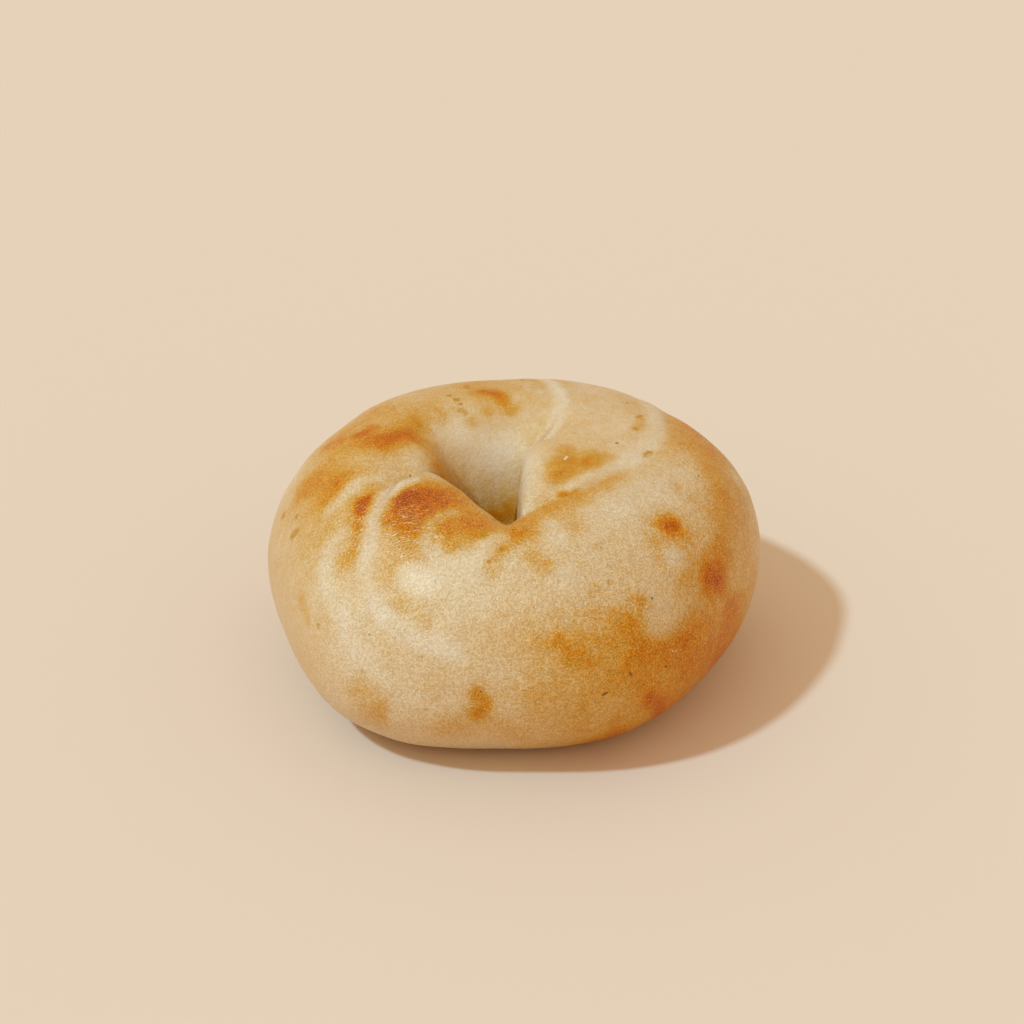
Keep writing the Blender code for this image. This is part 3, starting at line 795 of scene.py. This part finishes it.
class Tree:
    """A material's nodes, added and linked in short lines."""

    def __init__(self, material):
        self.nodes = material.node_tree.nodes
        self.links = material.node_tree.links

    def put(self, value, socket):
        """Links an output, or sets a plain value."""
        if isinstance(value, bpy.types.NodeSocket):
            self.links.new(value, socket)
        else:
            socket.default_value = value

    def math(self, operation, *values):
        """A number worked out from others."""
        node = self.nodes.new("ShaderNodeMath")
        node.operation = operation
        for value, socket in zip(values, node.inputs):
            self.put(value, socket)
        return node.outputs[0]

    def vector(self, operation, *values):
        """A vector or number worked out from vectors."""
        node = self.nodes.new("ShaderNodeVectorMath")
        node.operation = operation
        for value, socket in zip(values, node.inputs):
            self.put(value, socket)
        return node.outputs["Value" if operation in ("DISTANCE", "DOT_PRODUCT") else "Vector"]

    def rise(self, value, start, end):
        """From 0 at start to 1 at end, smoothly."""
        node = self.nodes.new("ShaderNodeMapRange")
        node.interpolation_type = "SMOOTHSTEP"
        self.put(value, node.inputs["Value"])
        self.put(start, node.inputs["From Min"])
        self.put(end, node.inputs["From Max"])
        return node.outputs["Result"]

    def mix(self, share, first, second):
        """The first colour, with a share of the second."""
        node = self.nodes.new("ShaderNodeMix")
        node.data_type = "RGBA"
        for value, socket in zip((share, first, second), (node.inputs[0], node.inputs[6], node.inputs[7])):
            self.put(value, socket)
        return node.outputs[2]

    def lay(self, colour, where, strength, over):
        """The colour with another laid over it at the given strength."""
        return self.mix(self.math("MULTIPLY", where, strength), colour, opaque(over))

    def noise(self, place, scale, detail=2.0, roughness=0.5, distortion=0.0):
        """Smooth noise about 0."""
        node = self.nodes.new("ShaderNodeTexNoise")
        self.put(place, node.inputs["Vector"])
        node.inputs["Scale"].default_value = scale
        node.inputs["Detail"].default_value = detail
        node.inputs["Roughness"].default_value = roughness
        node.inputs["Distortion"].default_value = distortion
        return self.math("SUBTRACT", node.outputs["Fac"], 0.5)

    def value(self, name):
        """A value stored at the mesh's points."""
        node = self.nodes.new("ShaderNodeAttribute")
        node.attribute_name = name
        return node.outputs["Fac"]

    def ragged(self, place):
        """The place moved about finely, so that small marks aren't round."""
        node = self.nodes.new("ShaderNodeTexNoise")
        self.put(place, node.inputs["Vector"])
        node.inputs["Scale"].default_value = RAGGED_SCALE
        reach = Vector((RAGGED_REACH,) * 3)
        offset = self.vector("MULTIPLY_ADD", node.outputs["Color"], reach, -reach / 2)
        return self.vector("ADD", place, offset)

    def wrinkles(self, place, middle):
        """1 on fine ridges that run in broken arcs about a point, 0 between them."""
        away = self.vector("DISTANCE", place, dough_point(WRINKLE_MIDDLE, middle))
        away = self.math("MULTIPLY_ADD", self.noise(place, *WAVER_NOISE), WRINKLE_WAVER, away)
        wave = self.math("SINE", self.math("MULTIPLY", away, 2 * math.pi / WRINKLE_SPACING))
        unbroken = self.rise(self.noise(place, *BREAK_NOISE), *BREAK_EDGES)
        return self.math("MULTIPLY", self.rise(wave, 0.0, 1.0), unbroken)

    def near_any(self, place, marks, middle, edge):
        """1 within any of the marks, each a radius with one or two ends, 0 beyond edge times the radius."""
        found = 0.0
        for radius, *ends in marks:
            points = [dough_point(angles, middle) for angles in ends]
            nearest = points[0]
            if len(points) == 2:
                run = points[1] - points[0]
                along = self.vector("DOT_PRODUCT", self.vector("SUBTRACT", place, points[0]), run)
                share = self.math("MULTIPLY", along, 1 / run.length_squared)
                share.node.use_clamp = True
                nearest = self.vector("MULTIPLY_ADD", share, run, points[0])
            inside = self.rise(self.vector("DISTANCE", place, nearest), radius * edge, radius * MARK_CORE)
            found = self.math("MAXIMUM", found, inside)
        return found


def opaque(colour):
    """The colour with full alpha."""
    return (*colour, 1)


def crust_patterns(tree):
    """The places, stored values, noises and marks that the crust's colour, gloss and bump share."""
    place = tree.nodes.new("ShaderNodeTexCoord").outputs["Object"]
    ragged = tree.ragged(place)
    middle = middle_of_solid()
    netted = tree.value("netted")
    return SimpleNamespace(
        place=place,
        netted=netted,
        browned_and_painted_light=tree.value("browned_and_painted_light"),
        floured=tree.value("floured"),
        tanned_and_painted_light=tree.value("tanned_and_painted_light"),
        wide=tree.noise(place, *WIDE_NOISE),
        fine=tree.noise(place, *FINE_NOISE),
        cells=tree.math("MULTIPLY", tree.rise(tree.noise(place, *NET_NOISE), *CELL_EDGES), netted),
        grain=tree.math("MULTIPLY", tree.noise(place, *GRAIN_NOISE), netted),
        wrinkles=tree.math("MULTIPLY", tree.wrinkles(place, middle), tree.value("wrinkled")),
        spots=tree.near_any(ragged, GOLD_MARKS, middle, SOFT_EDGE),
        # A painted highlight
        painted_highlight=tree.near_any(ragged, PAINTED_HIGHLIGHT, middle, SOFT_EDGE),
        dark=tree.near_any(ragged, DARK_MARKS, middle, CRISP_EDGE),
        bright=tree.near_any(ragged, PALE_MARKS, middle, CRISP_EDGE),
    )


def crust_bake(tree, crust):
    """Browning that wavers in broad swells, more finely where it is half done, less on net, and on wrinkles
    as painted highlight.
    """
    half_done = tree.math("MULTIPLY", crust.browned_and_painted_light, tree.math("SUBTRACT", HALF_DONE_END, crust.browned_and_painted_light))
    fine_share = tree.math("MULTIPLY_ADD", half_done, HALF_DONE_BAKE, FINE_BAKE)
    bake = tree.math("MULTIPLY_ADD", crust.wide, WIDE_BAKE, crust.browned_and_painted_light)
    bake = tree.math("MULTIPLY_ADD", crust.fine, fine_share, bake)
    bake = tree.math("MULTIPLY_ADD", crust.cells, CELL_BAKE, tree.math("ADD", bake, MORE_BAKE))
    # Painted highlight: wrinkle ridges browned less
    wrinkle_highlight = tree.math("MULTIPLY", crust.wrinkles, tree.rise(crust.browned_and_painted_light, *WRINKLE_HIGHLIGHT_RANGE))
    return tree.math("MULTIPLY_ADD", wrinkle_highlight, WRINKLE_HIGHLIGHT_BAKE, bake)


def baked_colour(tree, bake):
    """The plain crust's colour at each degree of browning."""
    ramp = tree.nodes.new("ShaderNodeValToRGB")
    ramp.color_ramp.interpolation = "LINEAR"
    stops = ramp.color_ramp.elements
    ready = len(stops)
    for k, (position, colour) in enumerate(BAKE_STEPS):
        stop = stops[k] if k < ready else stops.new(position)
        stop.position = position
        stop.color = opaque(colour)
    tree.put(bake, ramp.inputs["Fac"])
    return ramp.outputs["Color"]


def crust_colour(tree, crust):
    """The baked colour under tan and flour, both where the crust is pale, painted highlights and glints, and
    small marks.
    """
    bake = crust_bake(tree, crust)
    pale = tree.math("SUBTRACT", 1.0, tree.rise(bake, *PALE_BAKE))
    tanned_and_painted_light = tree.math("MULTIPLY", crust.tanned_and_painted_light, pale)
    colour = tree.lay(baked_colour(tree, bake), tanned_and_painted_light, TAN_SHARE, TAN_COLOUR)
    dusting = tree.rise(tree.noise(crust.place, *DUST_NOISE), *DUST_EDGES)
    dust = tree.math("MULTIPLY", crust.floured, dusting)
    colour = tree.mix(tree.math("MULTIPLY", dust, pale), colour, opaque(FLOUR_COLOUR))
    spots = tree.math("MULTIPLY", crust.spots, tree.rise(crust.fine, *SPOT_EDGES))
    colour = tree.lay(colour, spots, SPOT_SHARE, GOLD_COLOUR)
    # Painted highlights in pale: the soft gleam, then the wrinkle ridges
    colour = tree.lay(colour, crust.painted_highlight, PAINTED_HIGHLIGHT_SHARE, PALE_COLOUR)
    colour = tree.lay(colour, crust.wrinkles, WRINKLE_HIGHLIGHT_SHARE, PALE_COLOUR)
    grain_share = tree.math("MULTIPLY_ADD", crust.browned_and_painted_light, BROWNED_GRAIN_BRIGHTNESS, GRAIN_BRIGHTNESS)
    brightness = tree.math("MULTIPLY_ADD", crust.cells, CELL_BRIGHTNESS, BRIGHTNESS)
    brightness = tree.math("MULTIPLY_ADD", crust.grain, grain_share, brightness)
    colour = tree.vector("MULTIPLY", colour, brightness)
    specks = tree.rise(tree.noise(crust.place, *SPECK_NOISE), *SPECK_EDGES)
    colour = tree.lay(colour, tree.math("MULTIPLY", specks, crust.netted), SPECK_SHARE, SPECK_COLOUR)
    # Painted glints: bright points of the grain where the crust is browned
    painted_glints = tree.rise(crust.grain, *PAINTED_GLINT_EDGES)
    painted_glints = tree.math("MULTIPLY", painted_glints, tree.rise(crust.browned_and_painted_light, *PAINTED_GLINT_BAKE))
    colour = tree.lay(colour, painted_glints, PAINTED_GLINT_SHARE, PAINTED_GLINT_COLOUR)
    colour = tree.lay(colour, crust.dark, MARK_SHARE, DARK_COLOUR)
    return tree.lay(colour, crust.bright, MARK_SHARE, PALE_COLOUR)


def crust_roughness(tree, crust):
    """Rougher under flour, and a little uneven."""
    roughness = tree.math("MULTIPLY_ADD", crust.floured, FLOURED_ROUGHNESS, ROUGHNESS)
    return tree.math("MULTIPLY_ADD", crust.fine, FINE_ROUGHNESS, roughness)


def crust_normal(tree, crust):
    """Bump of a fine net and grain everywhere, wrinkles in places, and pits and flecks at the marks."""
    height = tree.math("MULTIPLY", crust.fine, FINE_HEIGHT)
    height = tree.math("MULTIPLY_ADD", crust.cells, CELL_HEIGHT, height)
    height = tree.math("MULTIPLY_ADD", crust.grain, GRAIN_HEIGHT, height)
    height = tree.math("MULTIPLY_ADD", crust.wrinkles, WRINKLE_HEIGHT, height)
    height = tree.math("MULTIPLY_ADD", crust.dark, DARK_MARK_HEIGHT, height)
    height = tree.math("MULTIPLY_ADD", crust.bright, PALE_MARK_HEIGHT, height)
    bump = tree.nodes.new("ShaderNodeBump")
    bump.inputs["Strength"].default_value = 1.0
    bump.inputs["Distance"].default_value = 1.0
    tree.put(height, bump.inputs["Height"])
    return bump.outputs["Normal"]


def crust_material():
    """Baked crust from pale cream to brown, floury and tanned in places, finely netted, softly glossy."""
    material = bpy.data.materials.new("crust")
    material.use_nodes = True
    tree = Tree(material)
    crust = crust_patterns(tree)
    shader = tree.nodes["Principled BSDF"]
    tree.put(crust_colour(tree, crust), shader.inputs["Base Color"])
    tree.put(crust_roughness(tree, crust), shader.inputs["Roughness"])
    tree.put(crust_normal(tree, crust), shader.inputs["Normal"])
    shader.inputs["Specular IOR Level"].default_value = GLOSS
    shader.inputs["Specular Tint"].default_value = opaque(GLOSS_TINT)
    return material


def plain_material(name, colour, roughness):
    """One colour all over, for the floor."""
    material = bpy.data.materials.new(name)
    material.use_nodes = True
    shader = material.node_tree.nodes["Principled BSDF"]
    shader.inputs["Base Color"].default_value = opaque(colour)
    shader.inputs["Roughness"].default_value = roughness
    return material


def make_floor():
    """A plain pale floor, wide enough to fill the view."""
    bpy.ops.mesh.primitive_plane_add(size=FLOOR_SIZE)
    floor = bpy.context.object
    floor.name = "floor"
    floor.data.materials.append(plain_material("floor", FLOOR_COLOUR, FLOOR_ROUGHNESS))


def make_light():
    """Soft surroundings, and a key light from the upper left, a little from the near side."""
    world = bpy.data.worlds.new("soft_surroundings")
    bpy.context.scene.world = world
    world.use_nodes = True
    background = world.node_tree.nodes["Background"]
    background.inputs["Color"].default_value = opaque(SURROUNDINGS_COLOUR)
    background.inputs["Strength"].default_value = SURROUNDINGS_STRENGTH
    key = bpy.data.lights.new("key", "SUN")
    key.color = KEY_COLOUR
    key.energy = KEY_STRENGTH
    key.angle = math.radians(KEY_SOFTNESS)
    lamp = bpy.data.objects.new("key", key)
    bpy.context.scene.collection.objects.link(lamp)
    up, across = math.radians(KEY_ELEVATION), math.radians(KEY_AZIMUTH)
    ray = Vector((math.cos(up) * math.cos(across), math.cos(up) * math.sin(across), -math.sin(up)))
    lamp.rotation_euler = ray.to_track_quat("-Z", "Y").to_euler()


def make_camera():
    """A camera on the near side that looks down at the bagel."""
    data = bpy.data.cameras.new("camera")
    data.sensor_width = SENSOR_WIDTH
    data.lens = CAMERA_LENS
    camera = bpy.data.objects.new("camera", data)
    bpy.context.scene.collection.objects.link(camera)
    camera.location = CAMERA_PLACE
    camera.rotation_euler = (math.radians(90 - CAMERA_PITCH), 0, 0)
    bpy.context.scene.camera = camera


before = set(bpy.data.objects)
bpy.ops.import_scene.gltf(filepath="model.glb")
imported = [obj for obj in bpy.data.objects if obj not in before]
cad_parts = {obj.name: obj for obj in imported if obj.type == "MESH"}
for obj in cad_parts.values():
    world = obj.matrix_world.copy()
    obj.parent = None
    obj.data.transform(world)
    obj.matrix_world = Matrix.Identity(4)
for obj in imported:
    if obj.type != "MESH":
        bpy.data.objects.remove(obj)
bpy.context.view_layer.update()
bpy.context.scene.view_settings.view_transform = "Standard"
crust = make_crust()
crust.data.materials.append(crust_material())
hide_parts("bagel")
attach(crust, "root")
make_floor()
make_light()
make_camera()
